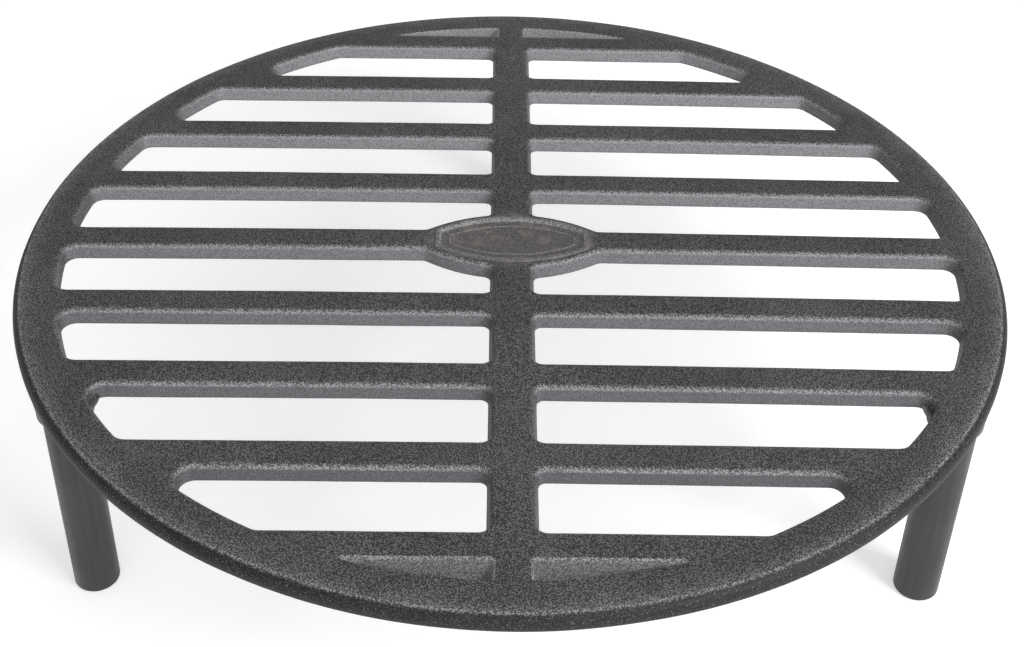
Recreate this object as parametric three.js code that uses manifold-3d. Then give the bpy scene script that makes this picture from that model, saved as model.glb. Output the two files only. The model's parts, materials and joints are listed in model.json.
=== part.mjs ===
// A round cast-iron log grate: one slotted casting that stands on three round steel legs.
// Each leg is screwed to a boss under the rim with a stud. Millimetres, Z up, feet on z = 0.
import * as THREE from 'three';
import { mergeVertices } from 'three/addons/utils/BufferGeometryUtils.js';
import Module from 'manifold-3d';

const wasm = await Module();
wasm.setup();

// Driving dimensions of the casting.
const TOP_HEIGHT = 102; // top face above the floor
const DISC_RADIUS = 203;
const PLATE_THICKNESS = 6.5;
const RIM_TOP_ROUND = 4;
const RIM_BOTTOM_ROUND = 1.5;
const BAR_PITCH = 43; // between the centre lines of neighbouring cross bars
const SLOT_WIDTH = 29; // between a slot's walls, just under its rounded lip
const SLOT_ROWS = 8; // cut on each side of the spine
const SLOT_END_RADIUS = 186.3; // circle that the outer ends of the slots follow
const SPINE_WIDTH = 16; // bar that runs from front to rear, between the slots' inner ends
const LIP_RADIUS = 2; // rounding of the top edge of every slot
const WALL_DRAFT = 1; // how much narrower a slot is at the bottom, on each side
const OUTER_CORNER_RADIUS = 6;
const INNER_CORNER_RADIUS = 4;

// Blind pockets in the two solid ends of the disc, beside the spine.
const POCKET_DEPTH = 3;
const POCKET_BAR_SLOPE = 4.5; // how far the sides along bar and spine slope in
const POCKET_RIM_SLOPE = 2.5;
const POCKET_ARC_RADIUS = 187;
const POCKET_CORNER_RADIUS = 6;

// Lens-shaped plaque where the centre bar crosses the spine.
const PLAQUE_HALF_LENGTH = 36; // where its arcs meet the edges of the centre bar
const PLAQUE_HALF_WIDTH = 18.8;
const PLAQUE_JOIN_RADIUS = 5;
const PLAQUE_END = 35; // blunt ends of the plaque's raised border
const PLAQUE_END_RADIUS = 2;
const PLAQUE_BORDER = 2.2;
const PLAQUE_BORDER_RISE = 0.6;
const PLAQUE_FIELD_DEPTH = 0.8;

// Legs, their bosses and the studs that hold them.
const LEG_CIRCLE_RADIUS = 192.2;
const LEG_RADIUS = 9;
const LEG_CHAMFER = 0.8;
const BOSS_RADIUS = 10.7;
const BOSS_DROP = 7; // below the plate's underside
const BOSS_EDGE = 1.8;
const STUD_RADIUS = 5;
const STUD_CHAMFER = 0.8;
const STUD_IN_BOSS = 10;
const STUD_IN_LEG = 15;
const HOLE_END_ROOM = 0.5; // left past each end of the stud
const FIT_GAP = 0.3; // between neighbouring pieces

// Fineness of the facets.
const RIM_SEGMENTS = 96;
const LEG_SEGMENTS = 32;
const STUD_SEGMENTS = 24;
const ARC_ERROR = 0.12; // most that a facet may stray from its arc
const LIP_STEPS = 3;
const EDGE_STEPS = 4;
const UNDER_EDGE_STEPS = 2;
const WELD_DISTANCE = 1e-4;

// Levels and places worked out from the sizes above.
const UNDERSIDE = TOP_HEIGHT - PLATE_THICKNESS;
const BOSS_BOTTOM = UNDERSIDE - BOSS_DROP;
const LEG_TOP = BOSS_BOTTOM - FIT_GAP;
const HALF_SLOT = SLOT_WIDTH / 2;
const HALF_BAR = (BAR_PITCH - SLOT_WIDTH) / 2;
const HALF_SPINE = SPINE_WIDTH / 2;
const OVERRUN = 1; // how far a cutter passes the face it cuts

const LEG_PLACES = [
  { name: 'front_left', angle: 210 },
  { name: 'front_right', angle: 330 },
  { name: 'rear', angle: 90 },
];

const FINISHES = {
  casting: new THREE.MeshStandardMaterial({ color: 0x4b4b4d, roughness: 0.72, metalness: 0.55 }),
  leg: new THREE.MeshStandardMaterial({ color: 0x5d5e60, roughness: 0.5, metalness: 0.8 }),
  stud: new THREE.MeshStandardMaterial({ color: 0x8d9096, roughness: 0.35, metalness: 0.9 }),
};

// ---- solids -------------------------------------------------------------------------------

function toSolid(geometry) {
  const bare = geometry.clone();
  bare.deleteAttribute('normal');
  bare.deleteAttribute('uv');
  const merged = mergeVertices(bare, WELD_DISTANCE);
  return new wasm.Manifold(new wasm.Mesh({
    numProp: 3,
    vertProperties: new Float32Array(merged.attributes.position.array),
    triVerts: new Uint32Array(merged.index.array),
  }));
}

function toGeometry(solid) {
  const mesh = solid.getMesh();
  const geometry = new THREE.BufferGeometry();
  geometry.setAttribute('position', new THREE.BufferAttribute(mesh.vertProperties, 3));
  geometry.setIndex(new THREE.BufferAttribute(mesh.triVerts, 1));
  geometry.computeVertexNormals();
  return geometry;
}

// A solid of revolution about the Z axis, from [radius, z] points that start and end on it.
function turned(profile, segments) {
  const points = profile.map(([radius, z]) => new THREE.Vector2(radius, z));
  const geometry = new THREE.LatheGeometry(points, segments);
  geometry.rotateX(Math.PI / 2);
  return toSolid(geometry);
}

// Points of a quarter round from angle start to angle end, about a centre in a profile.
function quarterRound([radius, z], size, start, end, steps) {
  return Array.from({ length: steps + 1 }, (_, i) => {
    const angle = start + ((end - start) * i) / steps;
    return [radius + size * Math.cos(angle), z + size * Math.sin(angle)];
  });
}

// ---- outlines -----------------------------------------------------------------------------

// Rounds the corners [x, y, radius] of an anticlockwise outline. Each point keeps its outward
// normal, so the outline can be drawn again wider or narrower with the same points.
function roundedOutline(corners) {
  const outline = [];
  corners.forEach(([x, y, radius], i) => {
    const corner = new THREE.Vector2(x, y);
    const [beforeX, beforeY] = corners[(i + corners.length - 1) % corners.length];
    const [afterX, afterY] = corners[(i + 1) % corners.length];
    const arriving = corner.clone().sub(new THREE.Vector2(beforeX, beforeY)).normalize();
    const leaving = new THREE.Vector2(afterX, afterY).sub(corner).normalize();
    const turn = Math.atan2(arriving.cross(leaving), arriving.dot(leaving));
    const side = Math.sign(turn);
    const tangent = radius * Math.tan(Math.abs(turn) / 2);
    const inward = new THREE.Vector2(-arriving.y, arriving.x).multiplyScalar(side * radius);
    const centre = corner.clone().addScaledVector(arriving, -tangent).add(inward);
    const steps = Math.ceil(Math.abs(turn) / (2 * Math.acos(1 - ARC_ERROR / radius)));
    for (let step = 0; step <= steps; step += 1) {
      const normal = new THREE.Vector2(arriving.y, -arriving.x)
        .rotateAround(new THREE.Vector2(), (turn * step) / steps);
      const point = centre.clone().addScaledVector(normal, side * radius);
      outline.push({ point, normal });
    }
  });
  return outline;
}

// A closed solid through copies of one outline. Each level is [z, spread]: the outline's
// height there and how far it is spread along its normals. Levels go upwards.
function lofted(outline, levels) {
  const count = outline.length;
  const positions = [];
  for (const [z, spread] of levels) {
    for (const { point, normal } of outline) {
      positions.push(point.x + normal.x * spread, point.y + normal.y * spread, z);
    }
  }
  const faces = [];
  for (let level = 0; level + 1 < levels.length; level += 1) {
    for (let i = 0; i < count; i += 1) {
      const a = level * count + i;
      const b = level * count + ((i + 1) % count);
      faces.push(a, b, b + count, a, b + count, a + count);
    }
  }
  const first = outline.map(({ point, normal }) => point.clone().addScaledVector(normal, levels[0][1]));
  const top = (levels.length - 1) * count;
  for (const [a, b, c] of THREE.ShapeUtils.triangulateShape(first, [])) {
    faces.push(a, c, b, top + a, top + b, top + c);
  }
  const geometry = new THREE.BufferGeometry();
  geometry.setAttribute('position', new THREE.Float32BufferAttribute(positions, 3));
  geometry.setIndex(faces);
  return toSolid(geometry);
}

const turnedAbout = (corners) => corners.map(([x, y, radius]) => [-x, -y, radius]);
const mirroredInX = (corners) => corners.map(([x, y, radius]) => [-x, y, radius]).reverse();

// The four copies of a corner list, one in each quarter of the disc.
function inFourQuarters(corners) {
  const across = mirroredInX(corners);
  return [corners, across, turnedAbout(corners), turnedAbout(across)];
}

// ---- the casting --------------------------------------------------------------------------

// Corners of the slot in the rear right quarter whose centre line is at y = middle. The outer
// end follows the end circle: it is one corner, rounded with the circle's own radius, between
// the two places where the roundings beside it touch the circle.
function slotCorners(middle) {
  const near = middle - HALF_SLOT;
  const far = middle + HALF_SLOT;
  const radius = SLOT_END_RADIUS;
  const inner = radius - OUTER_CORNER_RADIUS;
  const start = Math.asin((near + OUTER_CORNER_RADIUS) / inner);
  const end = Math.asin((far - OUTER_CORNER_RADIUS) / inner);
  const reach = radius / Math.cos((end - start) / 2);
  const tangentX = (angle, y) => (radius - y * Math.sin(angle)) / Math.cos(angle);
  return [
    [HALF_SPINE, near, INNER_CORNER_RADIUS],
    [tangentX(start, near), near, OUTER_CORNER_RADIUS],
    [reach * Math.cos((start + end) / 2), reach * Math.sin((start + end) / 2), radius],
    [tangentX(end, far), far, OUTER_CORNER_RADIUS],
    [HALF_SPINE, far, INNER_CORNER_RADIUS],
  ];
}

// The plaque's rear edge is an arc. These are its radius and the height of its centre.
function plaqueArc() {
  const sagitta = PLAQUE_HALF_WIDTH - HALF_BAR;
  const radius = (PLAQUE_HALF_LENGTH ** 2 + sagitta ** 2) / (2 * sagitta);
  return { radius, centreY: PLAQUE_HALF_WIDTH - radius };
}

// The slot next to the centre bar, whose edge follows the plaque's arc. The tangents at the
// arc's two ends meet in one corner, which is rounded with the arc's own radius. They run on
// to the spine and to the centre bar, which leaves room there for the roundings.
function plaqueSlotCorners() {
  const { radius, centreY } = plaqueArc();
  const startX = HALF_SPINE + INNER_CORNER_RADIUS;
  const endX = PLAQUE_HALF_LENGTH - PLAQUE_JOIN_RADIUS / 2;
  const startAngle = Math.asin(startX / radius);
  const endAngle = Math.asin(endX / radius);
  const startY = centreY + radius * Math.cos(startAngle);
  const endY = centreY + radius * Math.cos(endAngle);
  const middleAngle = (startAngle + endAngle) / 2;
  const reach = radius / Math.cos((endAngle - startAngle) / 2);
  return [
    [HALF_SPINE, startY + INNER_CORNER_RADIUS * Math.tan(startAngle), INNER_CORNER_RADIUS],
    [reach * Math.sin(middleAngle), centreY + reach * Math.cos(middleAngle), radius],
    [endX + (endY - HALF_BAR) / Math.tan(endAngle), HALF_BAR, PLAQUE_JOIN_RADIUS],
    ...slotCorners(BAR_PITCH / 2).slice(1),
  ];
}

// Levels of a slot cutter: straight leaning walls, then the rounded lip at the top.
function slotLevels() {
  const levels = [
    [UNDERSIDE - OVERRUN, -WALL_DRAFT],
    [UNDERSIDE, -WALL_DRAFT],
  ];
  for (let step = 0; step <= LIP_STEPS; step += 1) {
    const angle = ((Math.PI / 2) * step) / LIP_STEPS;
    levels.push([
      TOP_HEIGHT - LIP_RADIUS * (1 - Math.sin(angle)),
      LIP_RADIUS * (1 - Math.cos(angle)),
    ]);
  }
  levels.push([TOP_HEIGHT + OVERRUN, LIP_RADIUS]);
  return levels;
}

function slotCutters() {
  const middles = Array.from({ length: SLOT_ROWS / 2 }, (_, row) => BAR_PITCH * (row + 0.5));
  const quarter = [plaqueSlotCorners(), ...middles.slice(1).map(slotCorners)];
  const levels = slotLevels();
  return quarter.flatMap(inFourQuarters).map((corners) => lofted(roundedOutline(corners), levels));
}

// The pocket between the last bar, the spine and the rim. Its bar and spine sides slope in as
// the sides of a wedge, and its rim side as a shallow cone.
function pocketCutters() {
  const floor = TOP_HEIGHT - POCKET_DEPTH;
  const above = TOP_HEIGHT + OVERRUN;
  const flare = OVERRUN / POCKET_DEPTH;
  const barEdge = (BAR_PITCH * SLOT_ROWS) / 2 + HALF_BAR - LIP_RADIUS;
  const spineEdge = HALF_SPINE - LIP_RADIUS;
  const cone = turned([
    [0, floor],
    [POCKET_ARC_RADIUS - POCKET_RIM_SLOPE, floor],
    [POCKET_ARC_RADIUS + POCKET_RIM_SLOPE * flare, above],
    [0, above],
  ], RIM_SEGMENTS);
  const wedge = [
    [spineEdge, barEdge, POCKET_CORNER_RADIUS],
    [DISC_RADIUS, barEdge, POCKET_CORNER_RADIUS],
    [DISC_RADIUS, DISC_RADIUS, POCKET_CORNER_RADIUS],
    [spineEdge, DISC_RADIUS, POCKET_CORNER_RADIUS],
  ];
  const levels = [[floor, -POCKET_BAR_SLOPE], [above, POCKET_BAR_SLOPE * flare]];
  return inFourQuarters(wedge).map((corners) => lofted(roundedOutline(corners), levels).intersect(cone));
}

// Corners of the plaque's outline, narrowed by inset: a lens with blunt ends. Each long edge is
// one corner rounded with the edge's own radius.
function plaqueCorners(inset) {
  const { radius, centreY } = plaqueArc();
  const arc = radius - inset;
  const endX = PLAQUE_END - inset;
  const slope = Math.asin((endX - PLAQUE_END_RADIUS) / arc);
  const edgeY = centreY + arc / Math.cos(slope);
  const endY = edgeY - endX * Math.tan(slope);
  return [
    [endX, -endY, PLAQUE_END_RADIUS],
    [endX, endY, PLAQUE_END_RADIUS],
    [0, edgeY, arc],
    [-endX, endY, PLAQUE_END_RADIUS],
    [-endX, -endY, PLAQUE_END_RADIUS],
    [0, -edgeY, arc],
  ];
}

// The raised border of the plaque, and the sunk field inside it that is left bare.
function addPlaque(plate) {
  const outer = roundedOutline(plaqueCorners(LIP_RADIUS));
  const inner = roundedOutline(plaqueCorners(LIP_RADIUS + PLAQUE_BORDER));
  const crest = TOP_HEIGHT + PLAQUE_BORDER_RISE;
  const border = lofted(outer, [
    [TOP_HEIGHT - OVERRUN, 0],
    [TOP_HEIGHT, 0],
    [crest, -PLAQUE_BORDER_RISE],
  ]);
  const field = lofted(inner, [
    [TOP_HEIGHT - PLAQUE_FIELD_DEPTH, -PLAQUE_FIELD_DEPTH],
    [crest + OVERRUN, OVERRUN],
  ]);
  return plate.add(border).subtract(field);
}

function disc() {
  const quarter = Math.PI / 2;
  const lowCentre = [DISC_RADIUS - RIM_BOTTOM_ROUND, UNDERSIDE + RIM_BOTTOM_ROUND];
  const highCentre = [DISC_RADIUS - RIM_TOP_ROUND, TOP_HEIGHT - RIM_TOP_ROUND];
  return turned([
    [0, UNDERSIDE],
    ...quarterRound(lowCentre, RIM_BOTTOM_ROUND, -quarter, 0, UNDER_EDGE_STEPS),
    ...quarterRound(highCentre, RIM_TOP_ROUND, 0, quarter, EDGE_STEPS),
    [0, TOP_HEIGHT],
  ], RIM_SEGMENTS);
}

function boss() {
  return turned([
    [0, BOSS_BOTTOM],
    [BOSS_RADIUS - BOSS_EDGE, BOSS_BOTTOM],
    [BOSS_RADIUS, BOSS_BOTTOM + BOSS_EDGE],
    [BOSS_RADIUS, UNDERSIDE + BOSS_EDGE],
    [0, UNDERSIDE + BOSS_EDGE],
  ], LEG_SEGMENTS);
}

// The hole in a boss for the stud, open downwards.
function bossHole() {
  const end = BOSS_BOTTOM + STUD_IN_BOSS + HOLE_END_ROOM;
  return turned([
    [0, BOSS_BOTTOM - OVERRUN],
    [STUD_RADIUS + FIT_GAP, BOSS_BOTTOM - OVERRUN],
    [STUD_RADIUS + FIT_GAP, end],
    [0, end],
  ], STUD_SEGMENTS);
}

// Where a leg's axis stands on the floor.
function legAxis({ angle }) {
  const direction = THREE.MathUtils.degToRad(angle);
  return [LEG_CIRCLE_RADIUS * Math.cos(direction), LEG_CIRCLE_RADIUS * Math.sin(direction), 0];
}

function gratePlate() {
  const bosses = LEG_PLACES.map((place) => boss().translate(legAxis(place)));
  const holes = LEG_PLACES.map((place) => bossHole().translate(legAxis(place)));
  const cutters = [...slotCutters(), ...pocketCutters(), ...holes];
  const solid = addPlaque(bosses.reduce((plate, extra) => plate.add(extra), disc()));
  return cutters.reduce((plate, cutter) => plate.subtract(cutter), solid);
}

// ---- legs and studs -----------------------------------------------------------------------

function leg() {
  const bar = turned([
    [0, 0],
    [LEG_RADIUS - LEG_CHAMFER, 0],
    [LEG_RADIUS, LEG_CHAMFER],
    [LEG_RADIUS, LEG_TOP - LEG_CHAMFER],
    [LEG_RADIUS - LEG_CHAMFER, LEG_TOP],
    [0, LEG_TOP],
  ], LEG_SEGMENTS);
  const holeEnd = BOSS_BOTTOM - STUD_IN_LEG - HOLE_END_ROOM;
  const hole = turned([
    [0, holeEnd],
    [STUD_RADIUS + FIT_GAP, holeEnd],
    [STUD_RADIUS + FIT_GAP, LEG_TOP + OVERRUN],
    [0, LEG_TOP + OVERRUN],
  ], STUD_SEGMENTS);
  return bar.subtract(hole);
}

function stud() {
  const low = BOSS_BOTTOM - STUD_IN_LEG;
  const high = BOSS_BOTTOM + STUD_IN_BOSS;
  return turned([
    [0, low],
    [STUD_RADIUS - STUD_CHAMFER, low],
    [STUD_RADIUS, low + STUD_CHAMFER],
    [STUD_RADIUS, high - STUD_CHAMFER],
    [STUD_RADIUS - STUD_CHAMFER, high],
    [0, high],
  ], STUD_SEGMENTS);
}

// ---- the assembly -------------------------------------------------------------------------

const grate = new THREE.Group();

function addPiece(name, solid, material, position = [0, 0, 0]) {
  const piece = new THREE.Mesh(toGeometry(solid), material);
  piece.name = name;
  piece.position.set(...position);
  grate.add(piece);
}

addPiece('grate_plate', gratePlate(), FINISHES.casting);
for (const place of LEG_PLACES) {
  addPiece(`leg_${place.name}`, leg(), FINISHES.leg, legAxis(place));
  addPiece(`stud_${place.name}`, stud(), FINISHES.stud, legAxis(place));
}

export default grate;
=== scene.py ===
"""Looks of a round cast-iron log grate that stands on three screwed-in steel legs.

Sizes are in millimetres and turn into metres when a mesh is made. The disc, the legs and the
studs take their places and outer sizes from the frame, so that they stand where the part has them.
"""
import json
import logging
import math
from collections.abc import Callable, Iterable
from dataclasses import dataclass, field
from enum import Enum
from functools import cache

import bmesh
import bpy
import numpy as np
from mathutils import Matrix, Vector, noise
from mathutils.geometry import delaunay_2d_cdt

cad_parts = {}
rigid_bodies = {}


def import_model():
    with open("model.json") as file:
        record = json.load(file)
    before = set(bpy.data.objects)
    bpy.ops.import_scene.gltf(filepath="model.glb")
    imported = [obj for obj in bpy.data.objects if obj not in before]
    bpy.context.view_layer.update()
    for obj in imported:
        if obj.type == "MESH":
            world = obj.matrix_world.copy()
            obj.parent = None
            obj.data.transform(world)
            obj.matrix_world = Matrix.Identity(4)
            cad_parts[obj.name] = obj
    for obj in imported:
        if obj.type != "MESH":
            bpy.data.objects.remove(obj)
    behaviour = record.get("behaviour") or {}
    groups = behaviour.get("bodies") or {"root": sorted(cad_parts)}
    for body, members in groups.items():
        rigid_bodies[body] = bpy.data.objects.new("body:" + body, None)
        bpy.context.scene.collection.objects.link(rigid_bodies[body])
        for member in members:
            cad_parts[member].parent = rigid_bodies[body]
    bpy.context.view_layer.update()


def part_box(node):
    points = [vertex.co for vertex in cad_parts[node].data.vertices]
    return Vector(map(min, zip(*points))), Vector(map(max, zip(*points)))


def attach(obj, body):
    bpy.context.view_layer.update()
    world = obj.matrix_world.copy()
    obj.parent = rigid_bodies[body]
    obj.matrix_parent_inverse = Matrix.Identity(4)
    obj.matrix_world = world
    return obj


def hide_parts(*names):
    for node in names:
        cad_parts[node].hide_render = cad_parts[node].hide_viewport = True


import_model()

LOG = logging.getLogger("log_grate")
MM = 0.001  # metres in a millimetre
QUARTER = math.pi / 2
AXIS_HOLE = 0.01  # radius of the smallest ring of a turned piece

Colour = tuple[float, float, float]
Corner = tuple[float, float, float]
Object = bpy.types.Object
Shaper = Callable[[np.ndarray], np.ndarray]
Socket = bpy.types.NodeSocket
Sockets = bpy.types.bpy_prop_collection
Span = tuple[float, float]


def link(name: str, data: bpy.types.ID) -> Object:
    """Makes an object of a mesh, a camera or a lamp and links it to the scene."""
    made = bpy.data.objects.new(name, data)
    bpy.context.scene.collection.objects.link(made)
    return made


# ---- outlines and meshes --------------------------------------------------------------------


@dataclass(frozen=True)
class NodeBox:
    """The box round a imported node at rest, in millimetres."""

    low: Vector
    high: Vector

    @classmethod
    def of(cls, node: str) -> "NodeBox":
        """Reads the box of a node from the frame."""
        low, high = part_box(node)
        return cls(Vector(low) / MM, Vector(high) / MM)

    @property
    def centre(self) -> Vector:
        """The middle of the box."""
        return (self.low + self.high) / 2

    @property
    def radius(self) -> float:
        """Half the box's width, which is the radius of an upright round piece."""
        return (self.high.x - self.low.x) / 2


@dataclass(frozen=True)
class Outline:
    """A closed anticlockwise outline whose points know their outward normals."""

    points: np.ndarray
    normals: np.ndarray

    @classmethod
    def rounded(cls, corners: list[Corner], spacing: float, arc_error: float = 0.02) -> "Outline":
        """Rounds a polygon's corners.

        Args:
            corners: x, y and rounding radius of each corner, anticlockwise.
            spacing: longest step along the straight stretches.
            arc_error: how far a step may stray from its arc.

        Returns:
            The outline, with arcs at the corners and steps between them.
        """
        points: list[Vector] = []
        normals: list[Vector] = []
        for i, (x, y, radius) in enumerate(corners):
            corner = Vector((x, y))
            arriving = (corner - Vector(corners[i - 1][:2])).normalized()
            leaving = (Vector(corners[(i + 1) % len(corners)][:2]) - corner).normalized()
            turn = math.atan2(arriving.x * leaving.y - arriving.y * leaving.x, arriving.dot(leaving))
            side = math.copysign(1.0, turn)
            start = corner - arriving * radius * math.tan(abs(turn) / 2)
            centre = start + Vector((-arriving.y, arriving.x)) * side * radius
            if points:
                cls._step_to(points, normals, start, spacing)
            steps = max(2, math.ceil(abs(turn) / (2 * math.acos(1 - arc_error / radius))))
            for step in range(steps + 1):
                normal = Vector((arriving.y, -arriving.x))
                normal.rotate(Matrix.Rotation(turn * step / steps, 2))
                points.append(centre + normal * side * radius)
                normals.append(normal)
        cls._step_to(points, normals, points[0], spacing)
        return cls(np.array(points), np.array(normals))

    @staticmethod
    def _step_to(points: list[Vector], normals: list[Vector], end: Vector, spacing: float) -> None:
        """Adds the steps of the straight stretch from the last point to end, both left out."""
        begin = points[-1]
        normal = normals[-1]
        steps = math.ceil((end - begin).length / spacing)
        for step in range(1, steps):
            points.append(begin.lerp(end, step / steps))
            normals.append(normal)

    @classmethod
    def circle(cls, radius: float, count: int, centre: tuple[float, float] = (0.0, 0.0)) -> "Outline":
        """A circle of count points."""
        angles = np.linspace(0, 2 * math.pi, count, endpoint=False)
        normals = np.column_stack([np.cos(angles), np.sin(angles)])
        return cls(normals * radius + np.array(centre), normals)

    @classmethod
    def matched(cls, corners: list[Corner], counts: Iterable[int]) -> np.ndarray:
        """Rounds a polygon's corners and spreads a set number of points over each side.

        Outlines of other sizes then match it point for point.

        Args:
            corners: x, y and rounding radius of each corner, anticlockwise.
            counts: number of points from the middle of each corner to that of the next.

        Returns:
            The points, which crowd together near the corners.
        """
        fine = cls.rounded(corners, spacing=0.5, arc_error=1e-6).points
        stops = [int(np.argmin(np.sum((fine - np.array(corner[:2])) ** 2, axis=1))) for corner in corners]
        sides = []
        for start, end, count in zip(stops, stops[1:] + stops[:1], counts):
            stretch = fine[[(start + k) % len(fine) for k in range((end - start) % len(fine) + 1)]]
            along = np.concatenate([[0.0], np.cumsum(np.linalg.norm(np.diff(stretch, axis=0), axis=1))])
            wanted = along[-1] * (1 - np.cos(np.linspace(0, math.pi, count, endpoint=False))) / 2
            sides.append(np.column_stack([np.interp(wanted, along, stretch[:, axis]) for axis in (0, 1)]))
        return np.vstack(sides)

    def ring(self, spread: float = 0.0) -> np.ndarray:
        """The outline's points, moved outwards by spread."""
        return self.points + self.normals * spread


def turned_about(corners: list[Corner]) -> list[Corner]:
    """The corners after half a turn about the centre."""
    return [(-x, -y, radius) for x, y, radius in corners]


def mirrored_in_x(corners: list[Corner]) -> list[Corner]:
    """The corners on the other side of the spine, still anticlockwise."""
    return [(-x, y, radius) for x, y, radius in reversed(corners)]


def in_four_quarters(corners: list[Corner]) -> list[list[Corner]]:
    """The copies of a corner list in the four quarters of the disc."""
    across = mirrored_in_x(corners)
    return [corners, across, turned_about(corners), turned_about(across)]


def quarter_round(radius: float, steps: int) -> list[tuple[float, float]]:
    """The quarter of a circle that leaves a wall and ends in a flat.

    Args:
        radius: size of the rounding.
        steps: how many facets it has.

    Returns:
        Pairs of the distance from the wall and the height above the rounding's start.
    """
    angles = [QUARTER * step / steps for step in range(steps + 1)]
    return [(radius * (1 - math.cos(angle)), radius * math.sin(angle)) for angle in angles]


def inside(rings: Iterable[np.ndarray], spots: np.ndarray) -> np.ndarray:
    """Tells which spots lie in an odd number of the rings.

    Args:
        rings: closed outlines, as arrays of points.
        spots: the points to test.

    Returns:
        One truth value for each spot.
    """
    odd = np.zeros(len(spots), bool)
    x, y = spots[:, :1], spots[:, 1:]
    for ring in rings:
        a, b = ring, np.roll(ring, -1, axis=0)
        spans = (a[:, 1] > y) != (b[:, 1] > y)
        rise = np.where(b[:, 1] == a[:, 1], 1.0, b[:, 1] - a[:, 1])
        reach = a[:, 0] + (y - a[:, 1]) * (b[:, 0] - a[:, 0]) / rise
        odd ^= ((spans & (x < reach)).sum(axis=1) % 2).astype(bool)
    return odd


class MeshDraft:
    """A mesh in the making: rings of points, the bands between them and flat fills.

    Every point also carries how much it belongs to an edge lightened by wear and a painted highlight,
    to a paler cast wall, to the plaque and to the disc's outer side darkened by painted shade, each
    from 0 to 1, for the materials to read.
    """

    MASKS = ("edge", "wall", "plaque", "side")

    def __init__(self) -> None:
        self._points: list[np.ndarray] = []
        self._masks: list[np.ndarray] = []
        self._faces: list[list[int]] = []
        self._count = 0

    def ring(
        self, flat: np.ndarray, height: float | np.ndarray, **masks: float | np.ndarray
    ) -> np.ndarray:
        """Adds points.

        Args:
            flat: x and y of each point.
            height: their height, or one for each point.
            **masks: the value of any of MASKS there, or one for each point.

        Returns:
            The numbers of the new points.
        """
        count = len(flat)
        self._points.append(np.column_stack([flat, np.broadcast_to(height, count)]))
        values = [np.broadcast_to(masks.get(name, 0.0), count) for name in self.MASKS]
        self._masks.append(np.column_stack(values))
        self._count += count
        return np.arange(self._count - count, self._count)

    def faces(self, corners: Iterable[Iterable[int]]) -> None:
        """Adds faces by the numbers of their corners."""
        self._faces += [[int(number) for number in face] for face in corners]

    def bands(self, rings: list[np.ndarray]) -> None:
        """Joins each ring to the next with quads. The rings go up round a solid, down round a hole."""
        for low, high in zip(rings, rings[1:]):
            self.faces(zip(low, np.roll(low, -1), np.roll(high, -1), high))

    def fill(self, rings: list[np.ndarray], spacing: float, height: float, up: bool, **masks: float) -> None:
        """Fills the flat region between rings, with a hexagonal scatter of points inside it.

        Args:
            rings: the outer ring and the rings of the holes in it.
            spacing: distance between the scattered points.
            height: height of the scattered points.
            up: whether the face looks up.
            **masks: the value of any of MASKS at the scattered points.
        """
        everything = np.vstack(self._points)
        edges = [everything[ring][:, :2] for ring in rings]
        scattered = self._scatter(edges, spacing)
        numbers = np.concatenate([*rings, self.ring(scattered, height, **masks)])
        flat = [Vector(spot) for spot in np.vstack([*edges, scattered])]
        links = []
        first = 0
        for ring in rings:
            links += [(first + i, first + (i + 1) % len(ring)) for i in range(len(ring))]
            first += len(ring)
        spots, _, faces, origins, _, _ = delaunay_2d_cdt(flat, links, [], 0, 1e-7)
        corners = np.array(faces)
        kept = corners[inside(edges, np.array(spots)[corners].mean(axis=1))]
        source = numbers[[origin[0] for origin in origins]]
        self.faces(source[kept if up else kept[:, ::-1]])

    @staticmethod
    def _scatter(edges: list[np.ndarray], spacing: float) -> np.ndarray:
        """Points on a hexagonal grid inside the rings, kept off their edges."""
        low, high = edges[0].min(axis=0), edges[0].max(axis=0)
        rows = np.arange(low[1], high[1], spacing * math.sin(math.pi / 3))
        columns = np.arange(low[0], high[0], spacing)
        grid = np.array([(x + spacing * (row % 2) / 2, y) for row, y in enumerate(rows) for x in columns])
        grid = grid[inside(edges, grid)]
        border = np.vstack(edges)
        room = np.array([np.min(np.sum((border - spot) ** 2, axis=1)) for spot in grid])
        return grid[room > (spacing * 0.6) ** 2]

    def to_object(self, name: str, shaper: Shaper | None = None) -> Object:
        """Makes the mesh and its object.

        Args:
            name: name of the object.
            shaper: moves all the points at the end, in millimetres.

        Returns:
            The object, linked to the scene.
        """
        points = np.vstack(self._points)
        if shaper:
            points = shaper(points)
        mesh = bpy.data.meshes.new(name)
        mesh.from_pydata((points * MM).tolist(), [], self._faces)
        values = np.vstack(self._masks)
        for column, mask in enumerate(self.MASKS):
            layer = mesh.attributes.new(mask, "FLOAT", "POINT")
            layer.data.foreach_set("value", values[:, column].astype(np.float32))
        face_outwards(mesh)
        return link(name, mesh)


def face_outwards(mesh: bpy.types.Mesh) -> None:
    """Welds doubled points and turns every face of a closed mesh outwards."""
    work = bmesh.new()
    work.from_mesh(mesh)
    bmesh.ops.remove_doubles(work, verts=work.verts, dist=1e-7)
    bmesh.ops.recalc_face_normals(work, faces=work.faces)
    work.to_mesh(mesh)
    work.free()


def turned(name: str, profile: list[tuple[float, float]], segments: int,
           centre: Vector, **masks: float) -> Object:
    """A solid of revolution about an upright axis.

    Args:
        name: name of the object.
        profile: radius and height of each level, from the bottom of the axis to its top.
        segments: number of facets round the axis.
        centre: a point on the axis.
        **masks: the value of any of MeshDraft.MASKS all over it.

    Returns:
        The object.
    """
    draft = MeshDraft()
    rings = []
    for radius, height in profile:
        circle = Outline.circle(max(radius, AXIS_HOLE), segments, (centre.x, centre.y))
        rings.append(draft.ring(circle.ring(), height, **masks))
    draft.bands(rings)
    for ring, up in ((rings[0], False), (rings[-1], True)):
        draft.fill([ring], 1e3, 0.0, up)
    return draft.to_object(name)


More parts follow.
